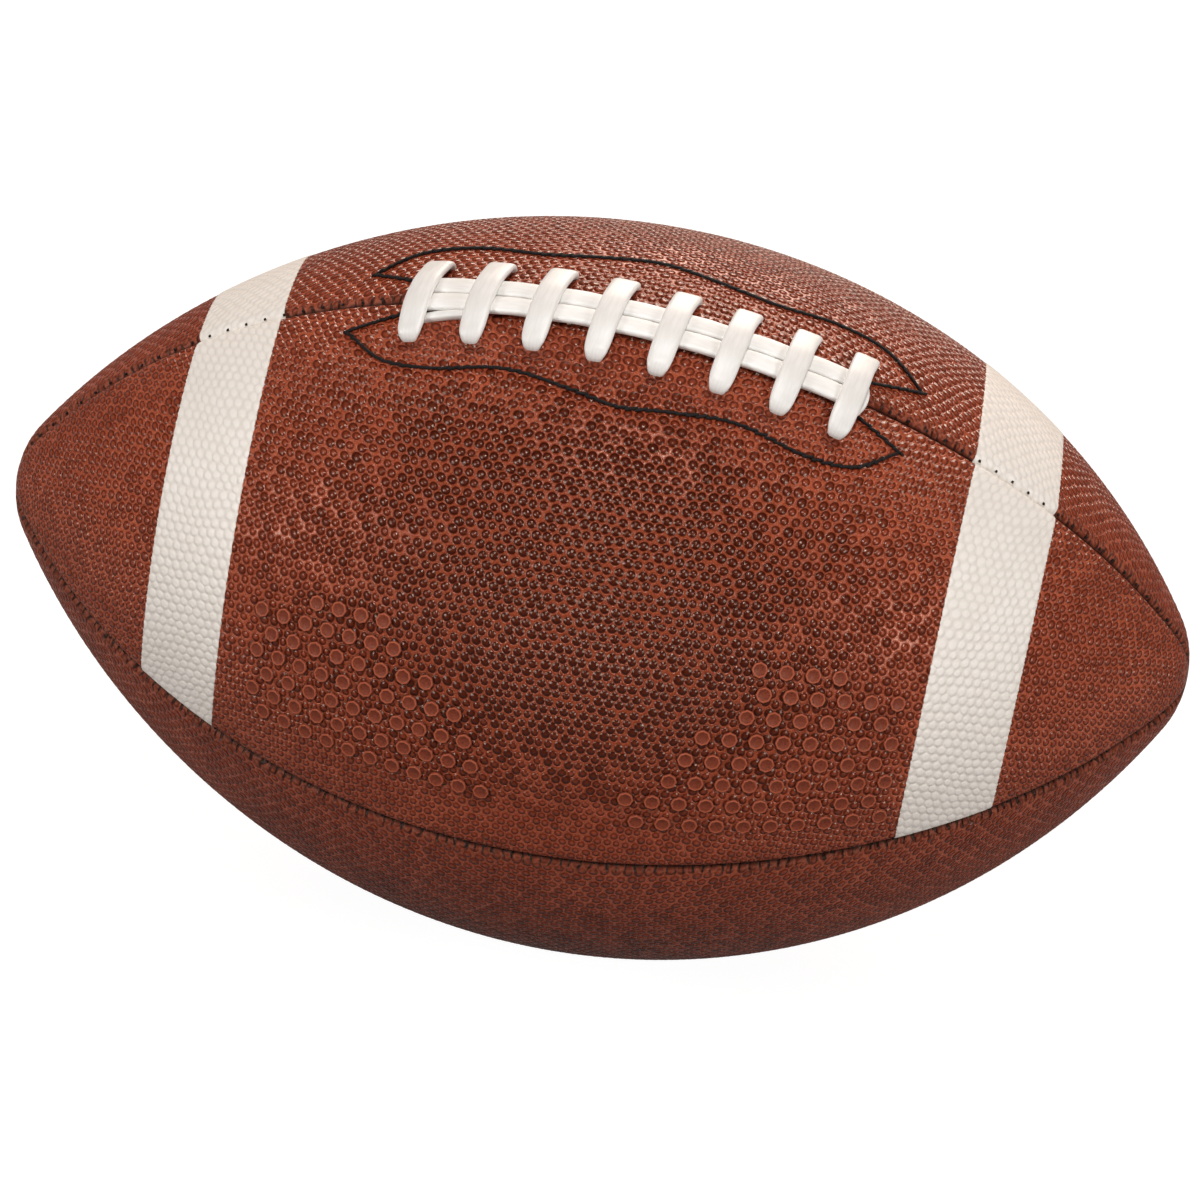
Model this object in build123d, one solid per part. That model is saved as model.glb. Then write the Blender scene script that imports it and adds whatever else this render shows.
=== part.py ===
# An american football: four leather panels over a lining and a bladder, closed by a lace.
# X runs along the ball, Z points up through the laced seam, and the origin is the ball's centre.
from build123d import *
from math import asin, atan2, cos, degrees, radians, sin, sqrt
import os

# The ball's form: half its length, its greatest radius and the radius of each nose
half_length = 139.0
belly_reach = 85.75
nose_radius = 24.0

# Layers of the shell, from the outside in, and the gap kept between them
leather = 2.2
lining = 0.8
facing = 1.0
layer_gap = 0.1

# Seams: panel edges turned in beside a groove, and met in a small pit at each tip
seam_gap = 0.1
groove_depth = 1.5
turned_edge = 4.2
tip_pit_radius = 3.0
tip_pit_depth = 2.0

# Stitches drawn down into the seam's groove
stitch_pitch = 5.0
stitch_length = 1.2
stitch_top_depth = 0.25
stitch_clearance = 0.1

# White stripes on the two laced panels, measured along the ball from its ends
stripe_tip_margin = 39.5
stripe_width = 20.5
stripe_film = 0.4

# Lace: eight straps cross over two lengthwise runs, and pass down through holes
strap_count = 8
strap_pitch = 14.3
strap_width = 5.5
run_width = 4.8
run_spacing = 0.5
lace_thickness = 1.4
lace_clearance = 0.45
lace_seat = 0.2
hole_reach = 13.0
hole_clearance = 0.3
strap_shoulder_rise = 0.3
strap_shoulder_bend = 1.6
strap_crown_bend = 9.0
run_overhang = 7.0
run_bend = 2.4
tuck_ease = 1.0
slit_margin = 3.0

# Facing: a leaf outline beside the lace, sewn through to the patch that backs the holes
leaf_tip_margin = 15.5
leaf_tip_reach = 11.0
leaf_side_share = 0.92
leaf_side_margin = 9.5
leaf_waist_share = 0.52
leaf_waist_margin = 8.0
leaf_crown_margin = 12.0
leaf_root_margin = 1.0
facing_border = 2.0
thread_width = 1.0
thread_height = 0.6

# Guard between the lace and the bladder
guard_thickness = 1.0
guard_margin = 6.0
guard_corner = 8.0

# Bladder and its inflation valve, at the middle of the lower back panel
bladder_wall = 0.9
valve_turn = 45.0
valve_recess = 0.6
valve_stem_radius = 3.4
valve_flange_radius = 9.0
valve_flange = 1.4
valve_barrel_radius = 5.0
valve_barrel = 9.0
plug_radius = 2.2
plug_length = 12.0
needle_radius = 1.0

# Length by which a cutting tool runs past what it cuts
overrun = 20.0

# Worked out from the sizes above
nose_station = half_length - nose_radius
belly_radius = (nose_station**2 + belly_reach**2 - nose_radius**2) / (2 * (belly_reach - nose_radius))
belly_drop = belly_radius - belly_reach
room = half_length + overrun
lining_inset = leather + layer_gap
facing_inset = lining_inset + lining + layer_gap
shell_depth = facing_inset + facing
bladder_inset = turned_edge + layer_gap
lace_half_span = (strap_count - 1) * strap_pitch / 2
run_middle = (run_spacing + run_width) / 2
run_edge = run_spacing / 2 + run_width
run_height = lace_seat + lace_thickness / 2
strap_height = run_height + lace_thickness + lace_clearance
hole_drop = (hole_reach + strap_width / 2) ** 2 / (2 * belly_reach)
inner_pass_depth = hole_drop + shell_depth + lace_clearance + lace_thickness / 2
leg_depth = inner_pass_depth + lace_thickness / 2
tuck_station = lace_half_span + run_overhang
slit_half_length = tuck_station + slit_margin
guard_inset = leg_depth + 2 * lace_seat
pocket_inset = guard_inset + guard_thickness + lace_seat
pocket_half_length = lace_half_span + leaf_tip_margin + 2 * facing_border
pocket_half_width = hole_reach + leaf_crown_margin + 2 * facing_border
guard_half_length = tuck_station + guard_margin
guard_half_width = hole_reach + guard_margin
FRONT, BACK, UPPER, LOWER, LEFT, RIGHT = -1, 1, 1, -1, -1, 1


def ball(inset):
    """The ball's form, drawn in by an even depth all over."""
    belly = belly_radius - inset
    nose = nose_radius - inset
    tip = Vector(half_length - inset, 0)
    lean = atan2(belly_drop, nose_station)
    nose_middle = Vector(nose_station + nose * cos(lean / 2), nose * sin(lean / 2))
    joint = Vector(nose_station + nose * cos(lean), nose * sin(lean))
    crown = Vector(0, belly - belly_drop)
    left_joint, left_middle, left_tip = [Vector(-point.X, point.Y) for point in (joint, nose_middle, tip)]
    outline = [
        Line(left_tip, tip),
        ThreePointArc(tip, nose_middle, joint),
        ThreePointArc(joint, crown, left_joint),
        ThreePointArc(left_joint, left_middle, left_tip),
    ]
    return revolve(Plane.XZ * make_face(outline), Axis.X)


def quadrant(side, level, setback):
    """The space of one panel, set back from both seam planes."""
    middle = setback + room / 2
    return Pos(0, side * middle, level * middle) * Box(2 * room, room, room)


def tip_pits():
    """The small hollows where the four panels meet."""
    length = tip_pit_depth + overrun
    middle = half_length + overrun - length / 2
    pit = Pos(middle, 0, 0) * Rot(0, 90, 0) * Cylinder(tip_pit_radius, length)
    return [pit, mirror(pit, Plane.YZ)]


def quarter(side, level):
    """One quarter of the ball, with its two seam edges sloped down into the seam's groove."""
    solid = ball(0) & quadrant(side, level, seam_gap)
    solid -= tip_pits()
    seam_edges = []
    for edge in solid.edges().filter_by(GeomType.LINE, reverse=True):
        middle = edge @ 0.5
        if min(abs(middle.Y), abs(middle.Z)) < 2 * seam_gap:
            seam_edges.append(edge)
    return chamfer(seam_edges, groove_depth)


def shell(outer_inset, inner_inset):
    """A layer between two even depths."""
    return ball(outer_inset) - ball(inner_inset)


def seam_tilt(station):
    """How far the laced seam leans at a distance along the ball, in degrees."""
    return degrees(asin(station / belly_radius))


def seam_point(tilt, height):
    """A point over the laced seam, at a height above the leather."""
    reach = belly_radius + height
    return Vector(reach * sin(radians(tilt)), 0, reach * cos(radians(tilt)) - belly_drop)


def seat(tilt):
    """The plane that lies on the laced seam: X along the seam and Z out of the ball."""
    lean = radians(tilt)
    return Plane(seam_point(tilt, 0), x_dir=(cos(lean), 0, -sin(lean)), z_dir=(sin(lean), 0, cos(lean)))


strap_tilts = [seam_tilt((number - (strap_count - 1) / 2) * strap_pitch) for number in range(strap_count)]
tuck_tilt = seam_tilt(tuck_station)


def ribbon(path, width, flat_way):
    """A flat lace along a plane path, as wide as the given width, across the path's plane."""
    start = Plane(path @ 0, x_dir=flat_way, z_dir=path % 0)
    return sweep(start * Rectangle(width, lace_thickness), path)


def strap(tilt):
    """One cross strap with its two legs."""
    place = seat(tilt)
    across = Plane(place.origin, x_dir=(0, 1, 0), z_dir=place.x_dir)
    half = [
        (hole_reach, -inner_pass_depth),
        (hole_reach, strap_shoulder_rise),
        (run_edge + lace_thickness / 2, strap_height),
    ]
    points = [(-reach, height) for reach, height in half] + half[::-1]
    bends = [strap_shoulder_bend, strap_crown_bend, strap_crown_bend, strap_shoulder_bend]
    path = across * FilletPolyline(*points, radius=bends)
    return ribbon(path.wire(), strap_width, place.x_dir)


def run(side):
    """One lengthwise run, tucked down through the leather at both ends."""
    reach = belly_radius + run_height
    bend_reach = reach - run_bend
    bend_lean = radians(tuck_tilt) - asin(run_bend / bend_reach)
    leg_top = sqrt(bend_reach**2 - run_bend**2) - belly_radius
    foot = seam_point(tuck_tilt, -inner_pass_depth)
    knee = seam_point(tuck_tilt, leg_top)
    start = seam_point(degrees(bend_lean), run_height)
    along = Vector(cos(bend_lean), 0, -sin(bend_lean))
    left = [Vector(-point.X, 0, point.Z) for point in (foot, knee, start)]
    rise = left[1] - left[0]
    path = [
        Line(left[0], left[1]),
        TangentArc(left[1], left[2], tangent=rise),
        ThreePointArc(left[2], seam_point(0, run_height), start),
        TangentArc(start, knee, tangent=along),
        Line(knee, foot),
    ]
    return Pos(0, side * run_middle, 0) * ribbon(Wire(Curve() + path), run_width, (0, 1, 0))


def inner_pass(start, end, width):
    """A straight pass of the lace inside the ball, from one leg's foot to another's."""
    way = end - start
    middle = (start + end) / 2
    out = Vector(middle.X, 0, middle.Z + belly_drop)
    place = Plane(middle, x_dir=way, z_dir=out - way * (out.dot(way) / way.dot(way)))
    return place * Box(way.length + lace_thickness, width, lace_thickness)


def foot_point(tilt, reach):
    """The middle of the lace where a leg turns into an inner pass."""
    return seat(tilt).from_local_coords(Vector(0, reach, -inner_pass_depth))


def make_lace():
    passes = [strap(tilt) for tilt in strap_tilts]
    passes += [run(FRONT), run(BACK)]
    for tilt, next_tilt in zip(strap_tilts, strap_tilts[1:]):
        passes.append(inner_pass(foot_point(tilt, hole_reach), foot_point(next_tilt, -hole_reach), strap_width))
    for side, tilt, tuck in ((FRONT, strap_tilts[0], -tuck_tilt), (BACK, strap_tilts[-1], tuck_tilt)):
        start = foot_point(tuck, side * run_middle)
        passes.append(inner_pass(start, foot_point(tilt, side * hole_reach), run_width))
    return passes[0].fuse(*passes[1:])


def lace_holes(side):
    """Tools for the holes of one panel: one a strap, and two where a run is tucked in."""
    depth = leg_depth + overrun
    slot = Box(strap_width + 2 * hole_clearance, lace_thickness + 2 * hole_clearance, depth)
    tuck = Box(lace_thickness + 2 * hole_clearance + tuck_ease, run_width + 2 * hole_clearance, depth)
    tools = [seat(tilt) * Pos(0, side * hole_reach, 0) * slot for tilt in strap_tilts]
    tools.append(seat(-tuck_tilt) * Pos(tuck_ease / 2, side * run_middle, 0) * tuck)
    tools.append(seat(tuck_tilt) * Pos(-tuck_ease / 2, side * run_middle, 0) * tuck)
    return tools


def leaf(side, grow):
    """The facing's outline, seen from above, grown by a border."""
    tip = Vector(lace_half_span + leaf_tip_margin, leaf_tip_reach)
    flank = Vector(lace_half_span * leaf_side_share, hole_reach + leaf_side_margin)
    waist = Vector(lace_half_span * leaf_waist_share, hole_reach + leaf_waist_margin)
    root = Vector(lace_half_span, run_edge + leaf_root_margin)
    crown = Vector(0, hole_reach + leaf_crown_margin)
    left_tip, left_flank, left_waist, left_root = [Vector(-p.X, p.Y) for p in (tip, flank, waist, root)]
    outline = [
        ThreePointArc(left_tip, left_flank, left_waist),
        ThreePointArc(left_waist, crown, waist),
        ThreePointArc(waist, flank, tip),
        Line(tip, root),
        Line(root, left_root),
        Line(left_root, left_tip),
    ]
    face = make_face(outline)
    if grow:
        face = offset(face, grow, kind=Kind.INTERSECTION)
    return face if side == BACK else mirror(face, Plane.XZ)


def leaf_band(side, width):
    """The line of the facing's stitching, carried up through the leather."""
    band = leaf(side, width / 2) - leaf(side, -width / 2)
    return extrude(band, belly_reach + overrun)


def facing_stitch(side):
    return leaf_band(side, thread_width) & shell(-layer_gap - thread_height, -layer_gap)


def stripe_room(end, film, border):
    """Space round the ball for a stripe of even thickness, with a border on both sides."""
    middle = end * (half_length - stripe_tip_margin - stripe_width / 2)
    slab = Pos(middle, 0, 0) * Box(stripe_width + 2 * border, 2 * room, 2 * room)
    return slab - ball(film)


def slit_room():
    """Space for the lace where the laced seam isn't sewn."""
    height = belly_reach
    return Pos(0, 0, height / 2) * Box(2 * slit_half_length, 2 * (leather + 2 * seam_gap), height)


valve_axis = Rot(-(90 + valve_turn), 0, 0)


def valve_bar(radius, low, high):
    """A round bar on the valve's axis, between two distances from the ball's middle."""
    return valve_axis * Pos(0, 0, (low + high) / 2) * Cylinder(radius, high - low)


valve_top = belly_reach - valve_recess
valve_flange_drop = valve_flange_radius**2 / (2 * (belly_reach - bladder_inset - bladder_wall))
valve_flange_top = belly_reach - bladder_inset - bladder_wall - layer_gap - valve_flange_drop
valve_foot = valve_flange_top - valve_flange - valve_barrel


def make_panel(side, level):
    panel = quarter(side, level)
    panel -= ball(leather) & quadrant(side, level, seam_gap + leather)
    panel -= ball(turned_edge)
    if level == UPPER:
        panel -= ball(leather) & slit_room()
        panel -= lace_holes(side)
        panel -= [stripe_room(end, stripe_film + layer_gap, layer_gap) for end in (LEFT, RIGHT)]
    elif side == BACK:
        panel -= valve_bar(valve_stem_radius + layer_gap, belly_reach / 2, belly_reach + overrun)
    return panel


def make_lining(side, level):
    sheet = shell(lining_inset, lining_inset + lining) & quadrant(side, level, seam_gap + leather + layer_gap)
    if level == UPPER:
        sheet -= lace_holes(side)
    elif side == BACK:
        sheet -= valve_bar(valve_stem_radius + layer_gap, belly_reach / 2, belly_reach + overrun)
    return sheet


def make_facing(side):
    patch = extrude(leaf(side, facing_border), belly_reach + overrun) & shell(facing_inset, shell_depth)
    patch &= quadrant(side, UPPER, seam_gap + leather + layer_gap)
    return patch - lace_holes(side)


def make_guard():
    outline = RectangleRounded(2 * guard_half_length, 2 * guard_half_width, guard_corner)
    return extrude(outline, belly_reach + overrun) & shell(guard_inset, guard_inset + guard_thickness)


def bladder_form(wall):
    """The bladder's outside, or its hollow when a wall is taken off."""
    outline = RectangleRounded(2 * (pocket_half_length + wall), 2 * (pocket_half_width + wall), guard_corner)
    pocket = extrude(outline, belly_reach + overrun) - ball(pocket_inset + wall)
    return ball(bladder_inset + wall) - pocket


def make_bladder():
    hole = valve_bar(valve_stem_radius + layer_gap, belly_reach / 2, belly_reach + overrun)
    return bladder_form(0) - bladder_form(bladder_wall) - hole


def make_valve_seat():
    seat_body = valve_bar(valve_flange_radius, valve_flange_top - valve_flange, valve_flange_top)
    seat_body += valve_bar(valve_stem_radius, valve_flange_top, valve_top)
    seat_body += valve_bar(valve_barrel_radius, valve_foot, valve_flange_top - valve_flange)
    return seat_body - valve_bar(plug_radius + layer_gap, valve_foot - overrun, belly_reach + overrun)


def make_valve_plug():
    foot = valve_top - plug_length
    return valve_bar(plug_radius, foot, valve_top) - valve_bar(needle_radius, foot - overrun, belly_reach)


def stitch(tilt):
    """One stitch drawn into the groove of the laced seam, as a wedge that follows the groove's flanks."""
    place = seat(tilt)
    across = Plane(place.origin, x_dir=(0, 1, 0), z_dir=place.x_dir)
    foot_depth = seam_gap + groove_depth - stitch_clearance
    half_width = foot_depth - stitch_top_depth
    corners = [(-half_width, -stitch_top_depth), (half_width, -stitch_top_depth), (0, -foot_depth)]
    return extrude(across * make_face(Polyline(*corners, close=True)), stitch_length / 2, both=True)


def stitch_row(first_station, last_station, turn):
    """Stitches at an even pitch along a seam, turned about the ball to that seam."""
    step = degrees(stitch_pitch / belly_radius)
    first = seam_tilt(first_station)
    count = int((seam_tilt(last_station) - first) / step) + 1
    margin = (seam_tilt(last_station) - first - (count - 1) * step) / 2
    return Compound([Rot(turn, 0, 0) * stitch(first + margin + number * step) for number in range(count)])


stitch_end = nose_station
stitch_start = slit_half_length + stitch_pitch / 2

nodes = {
    "lace": make_lace(),
    "lace_guard": make_guard(),
    "bladder": make_bladder(),
    "valve_seat": make_valve_seat(),
    "valve_plug": make_valve_plug(),
    "seam_stitches_top_left": stitch_row(-stitch_end, -stitch_start, 0),
    "seam_stitches_top_right": stitch_row(stitch_start, stitch_end, 0),
    "seam_stitches_front": stitch_row(-stitch_end, stitch_end, 90),
    "seam_stitches_bottom": stitch_row(-stitch_end, stitch_end, 180),
    "seam_stitches_back": stitch_row(-stitch_end, stitch_end, 270),
}
for side, side_name in ((FRONT, "front"), (BACK, "back")):
    nodes[f"facing_{side_name}"] = make_facing(side)
    nodes[f"facing_stitch_{side_name}"] = facing_stitch(side)
    for end, end_name in ((LEFT, "left"), (RIGHT, "right")):
        nodes[f"stripe_{side_name}_{end_name}"] = quarter(side, UPPER) & stripe_room(end, stripe_film, 0)
    for level, level_name in ((UPPER, "upper"), (LOWER, "lower")):
        nodes[f"panel_{level_name}_{side_name}"] = make_panel(side, level)
        nodes[f"lining_{level_name}_{side_name}"] = make_lining(side, level)

os.makedirs("parts", exist_ok=True)
for name, solid in nodes.items():
    export_step(solid, f"parts/{name}.step")
    print(name, len(solid.solids()), round(solid.volume, 1))
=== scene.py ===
# American football: pebbled leather, painted stripes, a laid lace and thread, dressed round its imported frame
import math

import bpy
import numpy as np
from mathutils import Matrix, Vector


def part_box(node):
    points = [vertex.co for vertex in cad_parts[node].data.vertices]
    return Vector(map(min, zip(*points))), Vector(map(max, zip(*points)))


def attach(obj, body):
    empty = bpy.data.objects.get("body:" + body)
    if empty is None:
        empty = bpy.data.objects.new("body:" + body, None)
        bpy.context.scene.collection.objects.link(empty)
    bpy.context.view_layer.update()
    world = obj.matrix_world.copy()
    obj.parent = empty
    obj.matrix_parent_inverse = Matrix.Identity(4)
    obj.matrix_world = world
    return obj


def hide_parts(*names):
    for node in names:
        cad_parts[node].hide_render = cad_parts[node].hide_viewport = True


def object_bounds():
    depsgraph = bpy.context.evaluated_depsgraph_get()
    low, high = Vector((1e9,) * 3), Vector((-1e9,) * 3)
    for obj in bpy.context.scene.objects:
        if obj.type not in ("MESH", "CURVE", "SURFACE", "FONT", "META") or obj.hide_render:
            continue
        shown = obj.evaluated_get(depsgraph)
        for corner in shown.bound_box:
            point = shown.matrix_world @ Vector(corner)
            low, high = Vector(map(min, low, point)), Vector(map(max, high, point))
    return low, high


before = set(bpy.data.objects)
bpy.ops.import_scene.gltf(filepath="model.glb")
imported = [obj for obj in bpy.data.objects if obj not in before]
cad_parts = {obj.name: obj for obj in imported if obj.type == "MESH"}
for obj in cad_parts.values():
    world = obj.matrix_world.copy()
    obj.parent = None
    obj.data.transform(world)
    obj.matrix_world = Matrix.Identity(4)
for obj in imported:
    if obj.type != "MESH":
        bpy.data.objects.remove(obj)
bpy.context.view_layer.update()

# Lengths in this script are millimetres, and Blender's are metres
MM = 0.001

# The ball's form, from the frame: a belly arc that runs into a round nose on the axis
NOSE_RADIUS = 24.0
panel_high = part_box("panel_upper_front")[1]
HALF_LENGTH = panel_high.x / MM
BELLY_REACH = panel_high.z / MM
NOSE_STATION = HALF_LENGTH - NOSE_RADIUS
BELLY_RADIUS = (NOSE_STATION**2 + BELLY_REACH**2 - NOSE_RADIUS**2) / (2 * (BELLY_REACH - NOSE_RADIUS))
BELLY_DROP = BELLY_RADIUS - BELLY_REACH
NOSE_LEAN = math.asin(NOSE_STATION / (BELLY_RADIUS - NOSE_RADIUS))
BELLY_ARC = BELLY_RADIUS * NOSE_LEAN
MERIDIAN = BELLY_ARC + NOSE_RADIUS * (math.pi / 2 - NOSE_LEAN)

# A used ball settles: the lace pulls the middle down a little, and the belly sits towards one end
SETTLE_BEND = 4.0
SETTLE_SLIDE = 3.0

# Seams, numbered round from the laced one: top, front, bottom, back. Sewn by hand, two of them sway:
# a slope along the ball, a bow that adds to it on the left and takes from it on the right, and a sag
SEAM_SLOPES = (0.085, -0.05, 0.0, 0.0)
SEAM_BOWS = (-0.015, 0.0, 0.0, 0.0)
SEAM_SAGS = (0.0, 1.5, 0.0, 0.0)
BOW_ROUND = 20.0
SEAM_GAP = 0.05
LIP_RADIUS = 2.3
LIP_STEPS = (0.0, 0.05, 0.2, 0.46, 0.84, 1.32, 1.9, 2.6)
LIP_WIDTH_SHARE = 0.16
LEAST_REACH = 0.01
LEAST_SCALE = 0.001

# Leather
LEATHER = 2.2
TURNED_EDGE = 4.2
PANEL_STATIONS = 474
PANEL_LINES = 178
INNER_SHARES = (0.0, 0.2, 0.4, 0.6, 0.8, 1.0)
PEBBLE_PITCH = 2.48
PEBBLE_RELIEF = 0.12
PEBBLE_GROWTH = 0.001
PEBBLE_GROWTH_REACH = 70.0
PEBBLE_JITTER = (0.17, 0.19, 0.0)
PEBBLE_SIZE_SPREAD = 0.24
ROW_STEP = math.sqrt(3)
HALF_CELL = (0.5, 0.5, 0.5)
RELIEF_START = 0.9
RELIEF_RISE = 1.6
RELIEF_NARROW = 14.0
# Painted shade on the panels' inner face, as a share of the deep leather colour
INSIDE_PAINTED_SHADE = 0.3

# Rings round a pebble's middle, in pitches: its dome, its top, the net, and its swell under paint
DOME_RADIUS = 0.46
TOP_RING = (0.08, 0.36)
NET_RING = (0.34, 0.48)
NET_RISE = (0.42, 0.54)
NET_HEIGHT = 0.3
SWELL_RING = (0.2, 0.58)

# The pebbles and the net are darker in the middle of a panel, fading towards its seams and ends
MIDDLE_DARKENING_REACH = 64.0
MIDDLE_DARKENING_START = 8.0
MIDDLE_DARKENING_FADE = 34.0
MIDDLE_DARKENINGS = {"upper_front": 1.0, "lower_front": 0.4, "lower_back": 0.4, "upper_back": 0.2}
MIDDLE_DARKENING_FLOORS = {"upper_front": 0.0, "lower_front": 0.1, "lower_back": 0.1, "upper_back": 0.0}

# How much each panel's edges are gathered into folds at the seams
GATHERS = {"upper_front": 0.15, "lower_front": 1.0, "lower_back": 0.7, "upper_back": 0.9}

# Stripes
STRIPE_LIFT = 0.24
STRIPE_FILM = 0.5
STRIPE_STATIONS = 44
STRIPE_LINES = 220
STRIPE_RAGGED = 0.12
RAGGED_WAVES = ((1.0, 1.9, 1), (0.7, 4.3, 2), (0.5, 7.7, 1))
RAGGED_SPAN = 120
STRIPE_RIM_RISE = 0.5
STRIPE_RIM_SHARE = 0.55
STRIPE_RELIEF_SHARE = 0.4
STRIPE_RELIEF_RISE = 0.6
# How far the painted shade at a stripe's edges keeps back from the seam and from the rims
STRIPE_SHADE_SEAM_SHIFT = 0.6
STRIPE_SHADE_RIM_SHIFT = 0.25
STRIPE_TRIMS = {"left": ((-0.3, -2.2), (-0.3, -2.2)), "right": ((1.0, 1.2), (-2.6, -2.0))}

# Lace
STRAP_COUNT = 8
STRAP_PITCH = 14.3
STRAP_LEAN = 3.4
STRAP_REACH = 12.2
STRAP_HOOK = 0.35
STRAP_HOOK_START = 0.6
LACE_THICKNESS = 1.8
RUN_WIDTH = 4.9
RUN_MIDDLE = 2.65
RUN_THICKNESS = 1.9
RUN_UNDER_STRAP = 1.55
RUN_BETWEEN = 1.8
RUN_DIVE = ((2.2, -3.0), (2.0, -0.6), (1.0, 1.0))
LACE_HALF_SPAN = (STRAP_COUNT - 1) * STRAP_PITCH / 2

# Marks of the lace on the leather: a dip and painted shade at each hole, and painted shade under the runs
HOLE_HALF_SIZE = (2.6, 1.4)
HOLE_OFFSET = 1.6
HOLE_DIP = 0.9
HOLE_PAINTED_SHADE = 0.5
RUN_PAINTED_SHADE = 0.55
RUN_PAINTED_SHADE_REACH = 5.0
RUN_PAINTED_SHADE_MARGIN = 4

# Facing stitches: the leaf on both sides of the lace, as points along and across from the seam
LEAF_TIP = (65.8, 11.0)
LEAF_SHOULDER = (55.5, 20.0)
LEAF_FLANK = (43.0, 22.4)
LEAF_WAIST = (27.0, 21.0)
LEAF_RISE = (12.0, 23.4)
LEAF_CROWN = (0.0, 25.4)
LEAF_ROOT = (51.0, 5.6)
LEAF_LEAN = 1.5
LEAF_FRONT_PULL = 1.5
LEAF_MARGIN = 6
LEAF_FAR = 99.0
LEAF_SAMPLES = 24
LEAF_END_SAMPLES = 30
THREAD_WIDTH = 0.78
THREAD_STITCH = 2.3
THREAD_LIFT = 0.12
THREAD_GROOVE = 0.3
THREAD_GROOVE_REACH = 1.0
THREAD_CALM_REACH = 0.8
THREAD_HEIGHT = 0.8
THREAD_OVERLAP = 1.3
THREAD_SWAY = 0.11
THREAD_SWAY_PACE = 7.3
THREAD_SPIN = 0.1

# Seam stitches
SEAM_STITCH_PITCH = 5.0
SEAM_STITCH_SIZE = (0.55, 1.0, 0.5)
SEAM_STITCH_DEPTH = 0.45
SEAM_STITCH_OFFSET = 0.7
SEAM_STITCH_SWAY = 0.25
SEAM_STITCH_SWAY_PACE = 5.1
SLIT_HALF_LENGTH = 58.0
SEAM_END_MARGIN = 12.0

# Grip dots on the upper front panel: side, pitch along, first turn, turn between rows, dots in each row
GRIP_PATCHES = (
    (-1, 5.17, 55.4, 4.05, (4, 7, 8, 10, 10, 11, 11)),
    (1, 6.0, 52.7, 3.95, (4, 6, 6, 8, 8, 9, 10, 10)),
)
GRIP_OUTER = 70.5
GRIP_STAGGER = 1.5
GRIP_RADIUS = 1.9
GRIP_HEIGHT = 0.36
GRIP_FIRST_ROW_INSET = 1.8
GRIP_INSETS = ((0.16, 0.14), (0.12, 0.0), (0.2, -0.14))
# Painted shade in a ring round the foot of each dot: its strength, width and reach
GRIP_PAINTED_SHADE = 0.55
GRIP_PAINTED_SHADE_WIDTH = 0.5
GRIP_PAINTED_SHADE_REACH = 4

# Valve in the middle of the lower back panel
VALVE_TURN = math.radians(225)
VALVE_WELL_RADIUS = 4.0
VALVE_WELL_DEPTH = 2.6
VALVE_WELL_SOFTNESS = 0.18
VALVE_CALM_RADIUS = 6.5

# Camera, from the photograph: degrees, millimetres, and pixels of a frame 1200 wide
CAMERA_YAW = 4.683
CAMERA_PITCH = 46.218
CAMERA_ROLL = 6.385
CAMERA_SHIFT = (-0.135, -4.613)
CAMERA_DISTANCE = 1581.049
CAMERA_FOCAL_PIXELS = 6763.5
PHOTO_WIDTH = 1200
SENSOR = 36.0

# Light: metres, watts and colours
LAMP_COLOUR = (0.98, 0.99, 1.0)
BACK_LAMP_COLOUR = (1.0, 0.84, 0.73)
WORLD_FILL = (0.12, 0.08, 0.056, 1)
FLOOR_SIZE = 6
FLOOR_GREY = (0.24, 0.24, 0.24, 1)
FLOOR_GLOW = 0.9
WHITE = (1, 1, 1, 1)


# Form of the ball

def settle(points):
    """Points of the plain ball, moved as the used ball has settled."""
    share = (points[..., 0] / HALF_LENGTH) ** 2
    moved = points.copy()
    moved[..., 0] += SETTLE_SLIDE * (1 - share)
    moved[..., 2] += SETTLE_BEND * (share - 0.5)
    return moved


def lean_at(along):
    """How far the surface leans towards its end, at a distance along the meridian."""
    arc = np.abs(along)
    on_nose = NOSE_LEAN + (arc - BELLY_ARC) / NOSE_RADIUS
    return np.where(arc < BELLY_ARC, arc / BELLY_RADIUS, on_nose)


def reach_at(along):
    """The ball's radius at a distance along the meridian."""
    lean = lean_at(along)
    on_belly = np.abs(along) < BELLY_ARC
    return np.where(on_belly, BELLY_RADIUS * np.cos(lean) - BELLY_DROP, NOSE_RADIUS * np.cos(lean))


def station_at(along):
    """The place on the long axis at a distance along the meridian."""
    lean = lean_at(along)
    on_belly = np.abs(along) < BELLY_ARC
    station = np.where(on_belly, BELLY_RADIUS * np.sin(lean), NOSE_STATION + NOSE_RADIUS * np.sin(lean))
    return np.sign(along) * station


def along_at(station):
    """The distance along the meridian at a place on the belly's part of the axis."""
    return BELLY_RADIUS * np.arcsin(np.asarray(station, float) / BELLY_RADIUS)


def ball_points(along, turn, lift):
    """Points over the ball: along the meridian, turned from the laced seam to the front, lifted."""
    along, turn, lift = np.broadcast_arrays(*[np.asarray(v, float) for v in (along, turn, lift)])
    lean = lean_at(along)
    station = station_at(along) + np.sign(along) * lift * np.sin(lean)
    reach = np.maximum(reach_at(along) + lift * np.cos(lean), 0)
    return settle(np.stack([station, -reach * np.sin(turn), reach * np.cos(turn)], axis=-1))


def seam_turn(number, along):
    """The turn of a seam at a distance along the ball."""
    station = station_at(along)
    bow = np.sqrt(station**2 + BOW_ROUND**2) - BOW_ROUND
    fade = 1 - (station / HALF_LENGTH) ** 2
    sway = SEAM_SLOPES[number % 4] * station + SEAM_BOWS[number % 4] * bow + SEAM_SAGS[number % 4] * fade**2
    return number * math.pi / 2 + sway * fade / np.maximum(reach_at(along), NOSE_RADIUS)


def beside_seam(along, across, lift):
    """Points beside the laced seam, in distances along and across (front positive)."""
    turn = seam_turn(0, along) + np.asarray(across, float) / np.maximum(reach_at(along), 1)
    return ball_points(along, turn, lift)


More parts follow.
